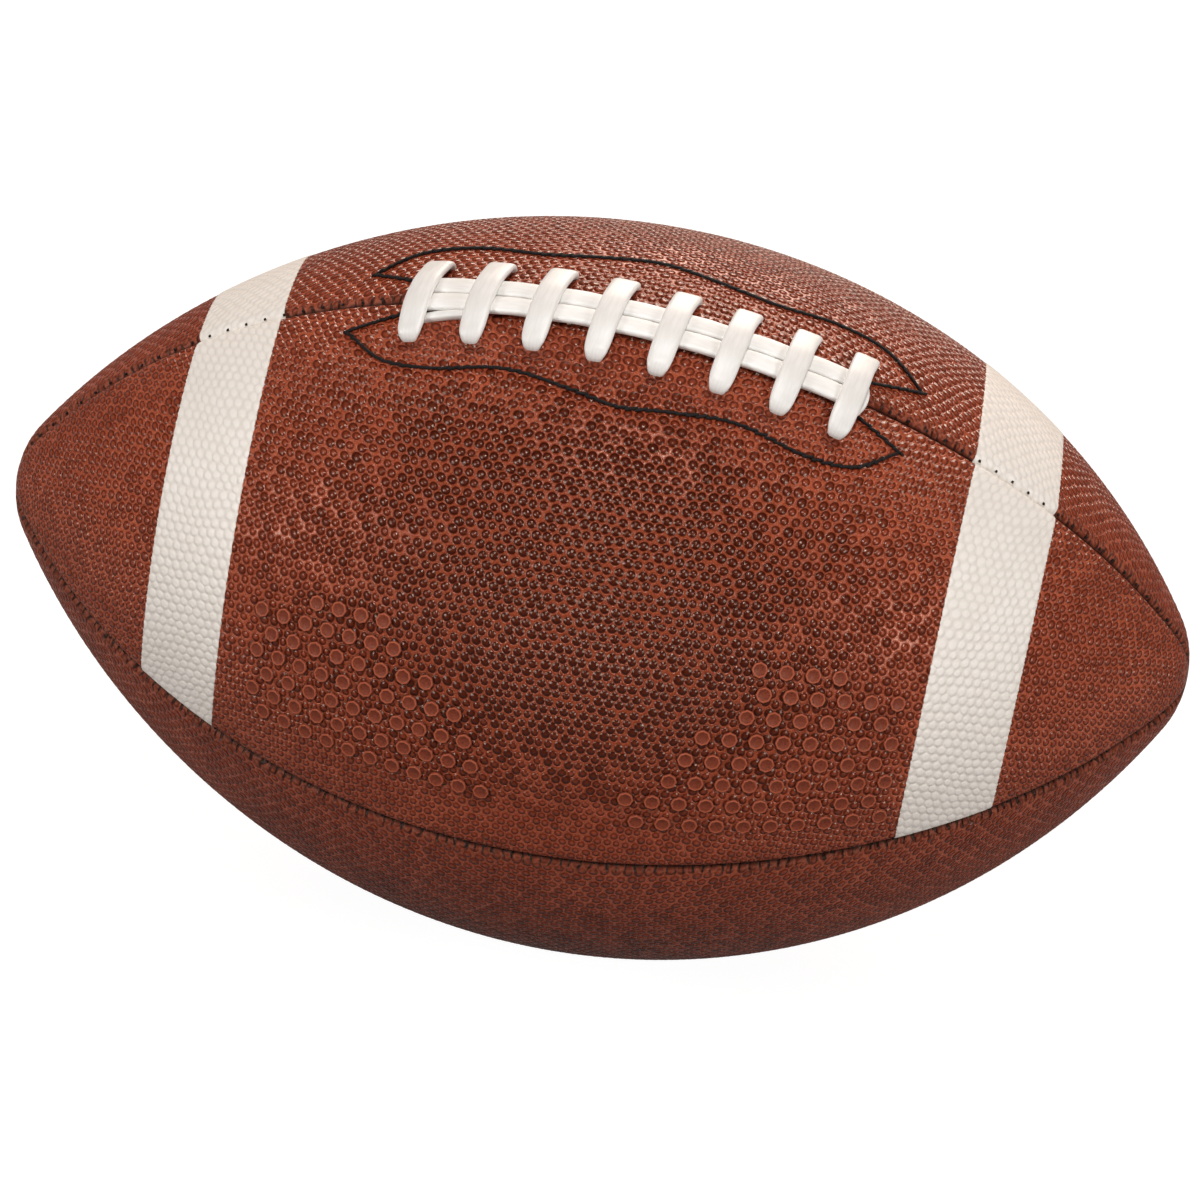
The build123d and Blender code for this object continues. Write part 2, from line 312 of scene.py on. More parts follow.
def ball_place(along, turn, lift, spin=0.0):
    """A matrix that stands a shape on the ball: X along, Y round, Z out."""
    step = 0.05
    origin = Vector(ball_points(along, turn, lift))
    ahead = Vector(ball_points(along + step, turn, lift)) - origin
    out = Vector(ball_points(along, turn, lift + step)) - origin
    out.normalize()
    ahead = (ahead - out * ahead.dot(out)).normalized()
    side = out.cross(ahead)
    turned = Matrix((ahead, side, out)).transposed().to_4x4()
    return Matrix.Translation(origin * MM) @ turned @ Matrix.Rotation(spin, 4, "Z")


# Modelling

def points_of(piece):
    points = np.empty(len(piece.data.vertices) * 3)
    piece.data.vertices.foreach_get("co", points)
    return points.reshape(-1, 3)


def new_sheet(name, rows, columns, place):
    """A grid whose points are laid by a function of their row and column."""
    bpy.ops.object.select_all(action="DESELECT")
    bpy.ops.mesh.primitive_grid_add(x_subdivisions=rows, y_subdivisions=columns, size=2, calc_uvs=False)
    piece = bpy.context.object
    piece.name = name
    piece.data.name = name
    flat = points_of(piece)
    row = np.rint((flat[:, 0] + 1) / 2 * rows).astype(int)
    column = np.rint((flat[:, 1] + 1) / 2 * columns).astype(int)
    points, notes = place(row, column)
    piece.data.vertices.foreach_set("co", (points * MM).ravel())
    for note, values in notes.items():
        write_note(piece, note, values)
    piece.data.update()
    return piece


def write_note(piece, name, values):
    """Keeps a number or a vector on every point of a piece, for its finish."""
    kind = "FLOAT" if values.ndim == 1 else "FLOAT_VECTOR"
    note = piece.data.attributes.new(name, kind, "POINT")
    note.data.foreach_set("value" if kind == "FLOAT" else "vector", values.astype(np.float32).ravel())


def select_only(piece):
    bpy.ops.object.select_all(action="DESELECT")
    piece.select_set(True)
    bpy.context.view_layer.objects.active = piece


def close_up(piece, join=0.004, smooth=70):
    """Joins doubled points, turns all faces outwards and smooths the shading."""
    select_only(piece)
    bpy.ops.object.mode_set(mode="EDIT")
    bpy.ops.mesh.select_all(action="SELECT")
    bpy.ops.mesh.remove_doubles(threshold=join * MM)
    bpy.ops.mesh.dissolve_degenerate(threshold=join * MM / 4)
    bpy.ops.mesh.select_all(action="SELECT")
    bpy.ops.mesh.normals_make_consistent(inside=False)
    bpy.ops.object.mode_set(mode="OBJECT")
    bpy.ops.object.shade_smooth_by_angle(angle=math.radians(smooth))
    return piece


def apply_modifier(piece, modifier):
    select_only(piece)
    bpy.ops.object.modifier_apply(modifier=modifier.name)


def joined(name, parts):
    """Separate parts as one piece."""
    bpy.ops.object.select_all(action="DESELECT")
    for part in parts:
        part.select_set(True)
    bpy.context.view_layer.objects.active = parts[0]
    bpy.ops.object.join()
    piece = bpy.context.object
    piece.name = name
    piece.data.name = name
    return piece


def copies(name, model, places):
    """A modelled shape copied to many places, as one piece, without the model."""
    parts = []
    for place in places:
        part = model.copy()
        part.data = model.data.copy()
        part.data.transform(place)
        bpy.context.collection.objects.link(part)
        parts.append(part)
    bpy.data.objects.remove(model)
    return joined(name, parts)


def dress(piece, material, slot, *nodes):
    """Gives a finished piece its material and its body, and hides the frame's nodes that it stands for."""
    piece.data.materials.clear()
    piece.data.materials.append(material)
    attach(piece, "root")
    if nodes:
        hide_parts(*nodes)
    return piece


# Node wiring

class Wires:
    """Adds nodes to one tree and links them."""

    def __init__(self, tree):
        self.tree = tree

    def join(self, value, socket):
        if isinstance(value, bpy.types.NodeSocket):
            self.tree.links.new(value, socket)
        else:
            socket.default_value = value

    def add(self, kind, inputs=None, **settings):
        node = self.tree.nodes.new(kind)
        for name, value in settings.items():
            setattr(node, name, value)
        for socket, value in (inputs or {}).items():
            self.join(value, node.inputs[socket])
        return node

    def calculate(self, kind, operation, values):
        node = self.add(kind, operation=operation)
        for value, socket in zip(values, node.inputs):
            self.join(value, socket)
        return node.outputs

    def math(self, operation, *values):
        return self.calculate("ShaderNodeMath", operation, values)[0]

    def times(self, one, other):
        return self.math("MULTIPLY", one, other)

    def scaled(self, value, by, plus):
        return self.math("MULTIPLY_ADD", value, by, plus)

    def vector(self, operation, *values):
        outputs = self.calculate("ShaderNodeVectorMath", operation, values)
        return outputs["Value" if operation == "LENGTH" else "Vector"]

    def ramp(self, value, start, end, low=0.0, high=1.0):
        """A smooth step from one value to another."""
        inputs = {"Value": value, "From Min": start, "From Max": end, "To Min": low, "To Max": high}
        return self.add("ShaderNodeMapRange", inputs, interpolation_type="SMOOTHSTEP").outputs[0]

    def noise(self, vector, scale, detail=2.0, rough=0.5):
        inputs = {"Vector": vector, "Scale": scale, "Detail": detail, "Roughness": rough}
        return self.add("ShaderNodeTexNoise", inputs)

    def mix(self, share, one, other):
        node = self.add("ShaderNodeMix", data_type="RGBA")
        for value, socket in ((share, 0), (one, 6), (other, 7)):
            self.join(value, node.inputs[socket])
        return node.outputs[2]

    def note(self, name, kind="Fac"):
        return self.add("ShaderNodeAttribute", attribute_name=name).outputs[kind]

    def object_place(self):
        return self.add("ShaderNodeTexCoord").outputs["Object"]


def srgb(red, green, blue):
    """A colour as the eye's 0 to 255 values, in Blender's linear ones."""
    linear = []
    for value in (red, green, blue):
        share = value / 255
        linear.append(share / 12.92 if share <= 0.04045 else ((share + 0.055) / 1.055) ** 2.4)
    return (*linear, 1.0)


def pebble_row(wires, place, offset):
    """Distance from the nearest pebble of every second row, in pitches, and that pebble's random number."""
    cells = wires.vector("DIVIDE", wires.vector("SUBTRACT", place, offset), (1.0, ROW_STEP, 1.0))
    cell = wires.vector("FLOOR", cells)
    seed = wires.vector("ADD", cell, (17.0 * offset[0] + 0.5, 3.5, 0.5))
    chance = wires.add("ShaderNodeTexWhiteNoise", {"Vector": seed}, noise_dimensions="3D").outputs
    inside = wires.vector("SUBTRACT", wires.vector("SUBTRACT", cells, cell), HALF_CELL)
    inside = wires.vector("MULTIPLY", inside, (1.0, ROW_STEP, 0.0))
    jitter = wires.vector("SUBTRACT", chance["Color"], HALF_CELL)
    jitter = wires.vector("MULTIPLY", jitter, PEBBLE_JITTER)
    away = wires.vector("LENGTH", wires.vector("SUBTRACT", inside, jitter))
    size = wires.scaled(chance["Value"], PEBBLE_SIZE_SPREAD, 1 - PEBBLE_SIZE_SPREAD / 2)
    return wires.math("DIVIDE", away, size), chance["Value"]


def pebble_field(wires, pattern):
    """Distance from the nearest pebble's middle, in pitches, and a random number for that pebble."""
    place = wires.vector("SCALE", pattern)
    place.node.inputs["Scale"].default_value = 1 / PEBBLE_PITCH
    drift = wires.noise(place, 0.13, 1.0).outputs["Color"]
    drift = wires.vector("SUBTRACT", drift, HALF_CELL)
    drift = wires.vector("MULTIPLY", drift, (1.1, 1.1, 0.0))
    place = wires.vector("ADD", place, drift)
    first, first_chance = pebble_row(wires, place, (0.0, 0.0, 0.0))
    second, second_chance = pebble_row(wires, place, (0.5, ROW_STEP / 2, 0.0))
    second_wins = wires.math("LESS_THAN", second, first)
    gap = wires.math("SUBTRACT", second_chance, first_chance)
    return wires.math("MINIMUM", first, second), wires.scaled(second_wins, gap, first_chance)


def pebble_height(wires, nearest):
    """Height of the pebbled face: domes, with a low net between them."""
    share = wires.math("DIVIDE", nearest, DOME_RADIUS)
    fall = wires.times(share, share)
    dome = wires.math("MAXIMUM", wires.math("SUBTRACT", 1.0, fall), 0.0)
    return wires.scaled(wires.ramp(nearest, *NET_RISE), NET_HEIGHT, dome)


def new_group(name, vector, numbers, results):
    """A shader group that takes a vector and numbers, and gives numbers."""
    group = bpy.data.node_groups.new(name, "ShaderNodeTree")
    group.interface.new_socket(vector, in_out="INPUT", socket_type="NodeSocketVector")
    for way, sockets in (("INPUT", numbers), ("OUTPUT", results)):
        for socket in sockets:
            group.interface.new_socket(socket, in_out=way, socket_type="NodeSocketFloat")
    wires = Wires(group)
    return group, wires, wires.add("NodeGroupInput").outputs, wires.add("NodeGroupOutput").inputs


def make_pebble_group():
    """Pebbles with their tops, the net between them, and their swell under a coat of paint."""
    results = ("Height", "Top", "Net", "Swell", "Chance")
    group, wires, given, result = new_group("pebbles", "Pattern", (), results)
    nearest, chance = pebble_field(wires, given["Pattern"])
    wires.join(pebble_height(wires, nearest), result["Height"])
    wires.join(wires.ramp(nearest, *TOP_RING, 1.0, 0.0), result["Top"])
    wires.join(wires.ramp(nearest, *NET_RING), result["Net"])
    wires.join(wires.ramp(nearest, *SWELL_RING, 1.0, 0.0), result["Swell"])
    wires.join(chance, result["Chance"])
    return group


def make_creases_group():
    """Fine creases and pores, for any hide."""
    group, wires, given, result = new_group("creases", "Place", ("Scale",), ("Height", "Tone"))
    fine = wires.noise(given["Place"], given["Scale"], 3.0, 0.6).outputs[0]
    cracks = wires.add("ShaderNodeTexVoronoi", {"Vector": given["Place"], "Scale": given["Scale"]})
    cracks.feature = "DISTANCE_TO_EDGE"
    edge = wires.ramp(cracks.outputs["Distance"], 0.0, 0.12)
    wires.join(wires.times(fine, edge), result["Height"])
    tone = wires.noise(given["Place"], wires.times(given["Scale"], 0.03), 3.0, 0.55).outputs[0]
    wires.join(tone, result["Tone"])
    return group


def make_weave_group():
    """A plain weave over two directions of a pattern."""
    group, wires, given, result = new_group("weave", "Pattern", ("Threads",), ("Height", "Mottle"))
    parts = wires.add("ShaderNodeSeparateXYZ", {"Vector": given["Pattern"]}).outputs
    waves = []
    for part in ("X", "Y"):
        waves.append(wires.math("SINE", wires.times(parts[part], given["Threads"])))
    over = wires.times(waves[0], waves[1])
    wires.join(wires.ramp(over, -1.0, 1.0), result["Height"])
    wires.join(wires.noise(given["Pattern"], 0.6, 3.0).outputs[0], result["Mottle"])
    return group


pebble_group = make_pebble_group()
creases_group = make_creases_group()
weave_group = make_weave_group()


# Materials

def new_finish(name, roughness, **sockets):
    """A material with its shader, whose plain values are set on the sockets."""
    material = bpy.data.materials.new(name)
    material.use_nodes = True
    wires = Wires(material.node_tree)
    shader = material.node_tree.nodes["Principled BSDF"]
    shader.inputs["Roughness"].default_value = roughness
    for socket, value in sockets.items():
        shader.inputs[socket.replace("_", " ")].default_value = value
    return material, wires, shader.inputs


def use_group(wires, group, **inputs):
    node = wires.add("ShaderNodeGroup", node_tree=group)
    for socket, value in inputs.items():
        wires.join(value, node.inputs[socket])
    return node.outputs


def set_face(wires, sockets, colour, roughness, height, depth):
    """Links a finish's colour, its roughness, and a height of 0 to 1 as a bump so deep."""
    wires.join(colour, sockets["Base Color"])
    wires.join(roughness, sockets["Roughness"])
    bump = wires.add("ShaderNodeBump", {"Height": height, "Distance": depth * MM})
    wires.join(bump.outputs[0], sockets["Normal"])


# Leather colours: the net between the pebbles, pebbles from foot to top (pale, and darker in the middle of a
# panel), folds, and a deep colour for pores and for the painted shade in fold gaps, seams and round lace and
# dot marks; a pebble's darker foot is painted shade round its dome, and its lighter top is partly rubbed and
# partly painted light
NET_LIGHT = srgb(180, 88, 59)
NET_DARK = srgb(160, 75, 49)
NET_MIDDLE_DARK = srgb(144, 64, 39)
PALE_PEBBLE = (srgb(106, 37, 19), srgb(158, 72, 47))
MIDDLE_DARK_PEBBLE = (srgb(56, 13, 4), srgb(84, 30, 15))
LEATHER_FOLD = srgb(122, 56, 37)
LEATHER_DEEP = srgb(30, 8, 4)
LEATHER_SHINE = (1.0, 0.78, 0.64, 1.0)


def make_leather():
    shine = {"Specular_IOR_Level": 0.42, "Specular_Tint": LEATHER_SHINE}
    material, wires, sockets = new_finish("pebbled_leather", 0.4, **shine)
    grain = wires.note("grain", "Vector")
    edge = wires.note("edge")
    # painted_shade: painted shade round the lace holes, under the runs, round the grip dots' feet and on the
    # inner face
    painted_shade = wires.note("painted_shade")
    gather = wires.note("gather")
    pebbles = use_group(wires, pebble_group, Pattern=grain)
    creases = use_group(wires, creases_group, Place=grain, Scale=1.3)
    middle_darkening = wires.note("middle_darkening")
    # held: how far a pebble and the net round it take the darker colours of a panel's middle, by that
    # darkening and each pebble's chance
    held = wires.scaled(wires.math("SUBTRACT", pebbles["Chance"], 0.5), 0.5, middle_darkening)
    held = wires.ramp(held, -0.1, 0.9)
    tone = wires.ramp(creases["Tone"], 0.3, 0.7)
    net = wires.mix(held, wires.mix(tone, NET_DARK, NET_LIGHT), NET_MIDDLE_DARK)
    # A pebble goes from its foot, darkened as painted shade round the dome, to its top, lighter as partly
    # rubbed and partly painted light
    pale = wires.mix(pebbles["Top"], *PALE_PEBBLE)
    brown = wires.mix(pebbles["Top"], *MIDDLE_DARK_PEBBLE)
    colour = wires.mix(pebbles["Net"], wires.mix(held, pale, brown), net)
    pores = wires.ramp(creases["Height"], 0.1, 0.5, 0.3, 0.0)
    colour = wires.mix(pores, colour, LEATHER_DEEP)
    along = wires.add("ShaderNodeSeparateXYZ", {"Vector": grain}).outputs["X"]
    wander = wires.times(wires.noise(grain, 0.25, 1.0).outputs[0], 9.0)
    fold = wires.math("SINE", wires.math("ADD", wires.times(along, 2.9), wander))
    near_edge = wires.times(gather, wires.ramp(edge, 1.0, 2.8, 1.0, 0.0))
    some = wires.ramp(wires.noise(grain, 0.6, 1.0).outputs[0], 0.3, 0.5)
    # Painted shade in the gaps between the gathered folds at the seams
    gaps = wires.times(wires.ramp(fold, -0.95, -0.4, 1.0, 0.0), some)
    gaps = wires.times(gaps, near_edge)
    folds = wires.math("SUBTRACT", near_edge, gaps)
    colour = wires.mix(wires.times(near_edge, 0.5), colour, LEATHER_FOLD)
    colour = wires.mix(gaps, colour, LEATHER_DEEP)
    # Painted shade: the seam's valley darkened near the edge, together with the painted shade of the lace and
    # dot marks
    dark = wires.math("MAXIMUM", painted_shade, wires.ramp(edge, 0.1, 0.8, 1.0, 0.0))
    colour = wires.mix(dark, colour, LEATHER_DEEP)
    gloss = wires.scaled(pebbles["Net"], 0.04, 0.19)
    gloss = wires.scaled(near_edge, 0.3, gloss)
    gloss = wires.scaled(creases["Height"], 0.1, gloss)
    away = wires.ramp(edge, 0.3, 1.4)
    height = wires.times(pebbles["Height"], away)
    height = wires.scaled(folds, 0.5, height)
    height = wires.scaled(creases["Height"], 0.06, height)
    set_face(wires, sockets, colour, gloss, height, 0.44)
    return material


def make_stripe_paint():
    material, wires, sockets = new_finish("stripe_paint", 0.55)
    grain = wires.note("grain", "Vector")
    edge = wires.note("edge")
    pebbles = use_group(wires, pebble_group, Pattern=grain)
    creases = use_group(wires, creases_group, Place=grain, Scale=1.6)
    # The paint is darker off the pebbles' swells: painted shade in the hollows between them
    paint = wires.mix(pebbles["Swell"], srgb(227, 219, 210), srgb(239, 232, 224))
    paint = wires.mix(wires.ramp(creases["Tone"], 0.35, 0.75, 0.0, 0.5), paint, srgb(228, 220, 209))
    # Painted shade along the stripe's rims and where it runs into the seam's valley
    paint = wires.mix(wires.ramp(edge, 0.05, 0.5, 0.7, 0.0), paint, srgb(150, 138, 126))
    gloss = wires.scaled(creases["Height"], 0.15, 0.46)
    height = wires.scaled(creases["Height"], 0.2, pebbles["Swell"])
    set_face(wires, sockets, paint, gloss, height, 0.17)
    return material


def make_lace_vinyl():
    material, wires, sockets = new_finish("lace_vinyl", 0.45)
    lay = wires.note("lay", "Vector")
    streaks = wires.noise(wires.vector("MULTIPLY", lay, (0.16, 1.1, 1.0)), 1.4, 4.0, 0.6).outputs[0]
    cloud = wires.noise(lay, 0.12, 2.0).outputs[0]
    streak = wires.ramp(streaks, 0.3, 0.7)
    # The same vinyl is painted darker on the straps and lighter on the runs, as painted shade and painted
    # light; the loose strands lie between
    strap = wires.mix(streak, srgb(224, 221, 216), srgb(234, 231, 227))
    run = wires.mix(streak, srgb(238, 236, 231), srgb(247, 245, 241))
    colour = wires.mix(wires.note("painted_lightness"), strap, run)
    colour = wires.mix(wires.ramp(cloud, 0.45, 0.75, 0.0, 0.4), colour, srgb(225, 220, 212))
    set_face(wires, sockets, colour, wires.scaled(streaks, 0.2, 0.32), streaks, 0.035)
    return material


def make_thread():
    material, wires, sockets = new_finish("waxed_thread", 0.6, Specular_IOR_Level=0.2)
    place = wires.object_place()
    fibres = wires.noise(place, 2600.0, 3.0, 0.65).outputs[0]
    colour = wires.mix(fibres, srgb(10, 9, 9), srgb(36, 33, 32))
    set_face(wires, sockets, colour, wires.scaled(fibres, 0.3, 0.42), fibres, 0.12)
    return material


def make_hide(name, light, dark, roughness):
    """Plain leather of the inner patches."""
    material, wires, sockets = new_finish(name, roughness)
    place = wires.object_place()
    creases = use_group(wires, creases_group, Place=place, Scale=1500.0)
    colour = wires.mix(wires.ramp(creases["Tone"], 0.3, 0.7), dark, light)
    gloss = wires.scaled(creases["Height"], 0.2, roughness - 0.06)
    set_face(wires, sockets, colour, gloss, creases["Height"], 0.06)
    return material


def make_dot_leather():
    """Smooth leather of the grip dots, lighter on their rims, partly rubbed and partly a painted highlight."""
    shine = {"Specular_IOR_Level": 0.36, "Specular_Tint": LEATHER_SHINE}
    material, wires, sockets = new_finish("grip_dot_leather", 0.42, **shine)
    place = wires.object_place()
    rim = wires.note("rim")
    creases = use_group(wires, creases_group, Place=place, Scale=2600.0)
    top = wires.mix(wires.ramp(creases["Height"], 0.1, 0.6), srgb(94, 40, 25), srgb(136, 61, 40))
    # The rims are lighter: partly rubbed, partly a painted highlight on their edges
    colour = wires.mix(rim, top, srgb(176, 88, 60))
    gloss = wires.scaled(creases["Height"], 0.2, 0.36)
    set_face(wires, sockets, colour, gloss, creases["Height"], 0.05)
    return material


def make_lining():
    material, wires, sockets = new_finish("woven_lining", 0.85)
    place = wires.object_place()
    weave = use_group(wires, weave_group, Pattern=place, Threads=4200.0)
    # Painted shade between the threads: the cloth is darker where the weave lies low
    cloth = wires.mix(weave["Height"], srgb(160, 150, 132), srgb(208, 200, 184))
    cloth = wires.mix(wires.times(weave["Mottle"], 0.3), cloth, srgb(150, 138, 118))
    set_face(wires, sockets, cloth, 0.85, weave["Height"], 0.15)
    return material


def make_rubber(name, light, dark):
    material, wires, sockets = new_finish(name, 0.55)
    place = wires.object_place()
    bloom = wires.noise(place, 220.0, 4.0, 0.6).outputs[0]
    pores = wires.noise(place, 2400.0, 2.0).outputs[0]
    colour = wires.mix(wires.ramp(bloom, 0.35, 0.7), dark, light)
    set_face(wires, sockets, colour, wires.scaled(bloom, 0.25, 0.42), pores, 0.05)
    return material


leather = make_leather()
stripe_paint = make_stripe_paint()
lace_vinyl = make_lace_vinyl()
thread = make_thread()
dot_leather = make_dot_leather()
facing_leather = make_hide("facing_leather", srgb(140, 94, 66), srgb(104, 66, 44), 0.7)
guard_leather = make_hide("guard_leather", srgb(122, 84, 62), srgb(92, 60, 44), 0.6)
lining_cloth = make_lining()
bladder_rubber = make_rubber("bladder_rubber", srgb(58, 57, 58), srgb(32, 31, 32))
valve_rubber = make_rubber("valve_rubber", srgb(44, 43, 44), srgb(24, 23, 24))


# Relief of the pebbles, as geometry

def make_relief():
    """Modifier tree that raises the pebbles along the normals, as far as each point's relief says."""
    tree = bpy.data.node_groups.new("pebble_relief", "GeometryNodeTree")
    tree.interface.new_socket("Geometry", in_out="INPUT", socket_type="NodeSocketGeometry")
    tree.interface.new_socket("Geometry", in_out="OUTPUT", socket_type="NodeSocketGeometry")
    wires = Wires(tree)
    start = wires.add("NodeGroupInput").outputs["Geometry"]
    grain = wires.add("GeometryNodeInputNamedAttribute", {"Name": "grain"}, data_type="FLOAT_VECTOR")
    relief = wires.add("GeometryNodeInputNamedAttribute", {"Name": "relief"}, data_type="FLOAT")
    nearest = pebble_field(wires, grain.outputs["Attribute"])[0]
    height = wires.times(pebble_height(wires, nearest), relief.outputs["Attribute"])
    normal = wires.add("GeometryNodeInputNormal").outputs["Normal"]
    rise = wires.vector("SCALE", normal)
    wires.join(wires.times(height, MM), rise.node.inputs["Scale"])
    raised = wires.add("GeometryNodeSetPosition", {"Geometry": start, "Offset": rise})
    wires.join(raised.outputs["Geometry"], wires.add("NodeGroupOutput").inputs["Geometry"])
    return tree


relief_tree = make_relief()


def raise_pebbles(piece):
    modifier = piece.modifiers.new("pebbles", "NODES")
    modifier.node_group = relief_tree
    apply_modifier(piece, modifier)


# Leaf outline of the facing stitches

def smooth_path(points, count):
    """A smooth line through a few points, sampled evenly between them."""
    points = np.array(points, float)
    padded = np.concatenate([[2 * points[0] - points[1]], points, [2 * points[-1] - points[-2]]])
    line = []
    for index in range(len(points) - 1):
        a, b, c, d = padded[index:index + 4]
        t = np.linspace(0, 1, count, endpoint=False)[:, None]
        bend = (2 * a - 5 * b + 4 * c - d) * t**2
        twist = (3 * b - a - 3 * c + d) * t**3
        line.append(0.5 * (2 * b + (c - a) * t + bend + twist))
    line.append(points[-1:])
    return np.concatenate(line)


def leaf_line(side):
    """The stitched leaf of one side, from the lace's left end round to its right end."""
    right = [LEAF_RISE, LEAF_WAIST, LEAF_FLANK, LEAF_SHOULDER, LEAF_TIP]
    left = [(-x, y) for x, y in right[::-1]]
    outer = smooth_path(left + [LEAF_CROWN] + right, LEAF_SAMPLES)
    left_root = (-LEAF_ROOT[0], LEAF_ROOT[1])
    left_end = np.linspace(left_root, left[0], LEAF_END_SAMPLES)[:-1]
    right_end = np.linspace(LEAF_TIP, LEAF_ROOT, LEAF_END_SAMPLES)[1:]
    line = np.concatenate([left_end, outer, right_end])
    return line - (side * LEAF_LEAN, LEAF_FRONT_PULL if side > 0 else 0)


LEAVES = {1: leaf_line(1), -1: leaf_line(-1)}


def leaf_distance(along, across, side):
    """How far points beside the laced seam lie from the leaf's thread."""
    near = np.full(along.shape, LEAF_FAR)
    close = (np.abs(along) < LEAF_TIP[0] + LEAF_MARGIN) & (across < LEAF_CROWN[1] + LEAF_MARGIN)
    points = np.stack([along[close], across[close]], axis=-1)
    best = np.full(len(points), LEAF_FAR)
    for point in LEAVES[side][::2]:
        best = np.minimum(best, np.hypot(*(points - point).T))
    near[close] = best
    return near


# Leather panels

PANELS = {"upper_front": 0, "lower_front": 1, "lower_back": 2, "upper_back": 3}


def strap_stations(side):
    """Where the straps' ends lie along the seam, on the front (1) or the back (-1)."""
    middle = (np.arange(STRAP_COUNT) - (STRAP_COUNT - 1) / 2) * STRAP_PITCH
    return middle - side * STRAP_LEAN / 2


def lip_drop(edge):
    """How far the leather rounds down at a distance from its seam."""
    left = np.clip(LIP_RADIUS - edge, 0, LIP_RADIUS)
    return LIP_RADIUS - np.sqrt(LIP_RADIUS**2 - left**2)


def pebble_pattern(along, across, width, number):
    """Pattern place of a point: on the upper front panel the pebbles grow towards the lace."""
    growth = PEBBLE_GROWTH if number == 0 else 0.0
    held = np.clip(along, -PEBBLE_GROWTH_REACH, PEBBLE_GROWTH_REACH)
    from_middle = across - width / 2
    x = along + 2 * growth * from_middle * held
    y = from_middle * (1 + growth * from_middle)
    return np.stack([x, y, np.full(along.shape, number)], axis=-1)


def relief_at(edge):
    """Height of the pebbles, which fade out towards a seam."""
    return PEBBLE_RELIEF * np.clip((edge - RELIEF_START) / RELIEF_RISE, 0, 1)


def lines_across(count):
    """Places of the lines across a panel: close together on both lips, even between them."""
    body = np.linspace(0, 1, count + 1)[1:-1]
    steps = len(LIP_STEPS)
    shares = np.concatenate([[-1] * steps, body, [2] * steps])
    extras = np.concatenate([LIP_STEPS, np.zeros(len(body)), LIP_STEPS[::-1]])
    return shares, extras


def panel_surface(number, along, share, extra):
    """Turn, lift and measures across of points on a panel, at a share of it or so far from an edge."""
    first = seam_turn(number, along)
    width = (seam_turn(number + 1, along) - first) * reach_at(along)
    margin = np.minimum(LIP_STEPS[-1], LIP_WIDTH_SHARE * width)
    scale = margin / LIP_STEPS[-1]
    across = np.where(share < 0, extra * scale, margin + share * (width - 2 * margin))
    across = np.where(share > 1, width - extra * scale, across)
    edge = np.minimum(across, width - across)
    lift = -lip_drop(edge / np.maximum(scale, LEAST_SCALE)) * scale
    gap = SEAM_GAP * np.sign(width / 2 - across) * (edge < SEAM_GAP)
    turn = first + (across + gap) / np.maximum(reach_at(along), LEAST_REACH)
    return turn, lift, across, edge, width


def grip_spots():
    """Distance along and turn of every grip dot."""
    spots = []
    for side, pitch, first_turn, turn_step, counts in GRIP_PATCHES:
        for row, count in enumerate(counts):
            outer = GRIP_OUTER + (GRIP_STAGGER if row % 2 else -GRIP_STAGGER)
            outer -= 0 if row else GRIP_FIRST_ROW_INSET * pitch
            turn = math.radians(first_turn + turn_step * row)
            for number in range(count):
                spots.append((float(along_at(side * (outer - number * pitch))), turn))
    return spots


def grip_painted_shade(along, turn):
    """Rings of painted shade round the feet of the grip dots."""
    painted_shade = np.zeros(along.shape)
    for spot_along, spot_turn in grip_spots():
        near = np.abs(along - spot_along) < GRIP_PAINTED_SHADE_REACH
        away = np.hypot(along[near] - spot_along, (turn[near] - spot_turn) * reach_at(along[near]))
        ring = np.exp(-(((away - GRIP_RADIUS) / GRIP_PAINTED_SHADE_WIDTH) ** 2))
        painted_shade[near] = np.maximum(painted_shade[near], GRIP_PAINTED_SHADE * ring)
    return painted_shade


def lace_marks(number, along, across, width):
    """Dips round the lace holes and under the leaf's thread, and painted shade round the holes and under the
    runs, on the upper panels.
    """
    dip = np.zeros(along.shape)
    painted_shade = np.zeros(along.shape)
    calm = np.ones(along.shape)
    if number in (1, 2):
        return dip, painted_shade, calm
    side = 1 if number == 0 else -1
    from_lace = across if number == 0 else width - across
    for station in strap_stations(side):
        lengthwise = (along - station) / HOLE_HALF_SIZE[0]
        outward = (from_lace - STRAP_REACH - HOLE_OFFSET) / HOLE_HALF_SIZE[1]
        near = np.exp(-(lengthwise**4) - outward**2)
        dip += HOLE_DIP * near
        painted_shade = np.maximum(painted_shade, HOLE_PAINTED_SHADE * near)
    under = np.exp(-((along / (LACE_HALF_SPAN + RUN_PAINTED_SHADE_MARGIN)) ** 8))
    under *= np.exp(-((from_lace / RUN_PAINTED_SHADE_REACH) ** 4))
    painted_shade = np.maximum(painted_shade, RUN_PAINTED_SHADE * under)
    near = leaf_distance(along, from_lace, side)
    dip += THREAD_GROOVE * np.exp(-((near / THREAD_GROOVE_REACH) ** 2))
    calm *= 1 - np.exp(-((near / THREAD_CALM_REACH) ** 2))
    return dip, painted_shade, calm


def middle_darkening_share(along, edge):
    """How much darker a place is: most in the middle of a panel."""
    lengthwise = np.exp(-((station_at(along) / MIDDLE_DARKENING_REACH) ** 2))
    return lengthwise * np.clip((edge - MIDDLE_DARKENING_START) / MIDDLE_DARKENING_FADE, 0, 1)


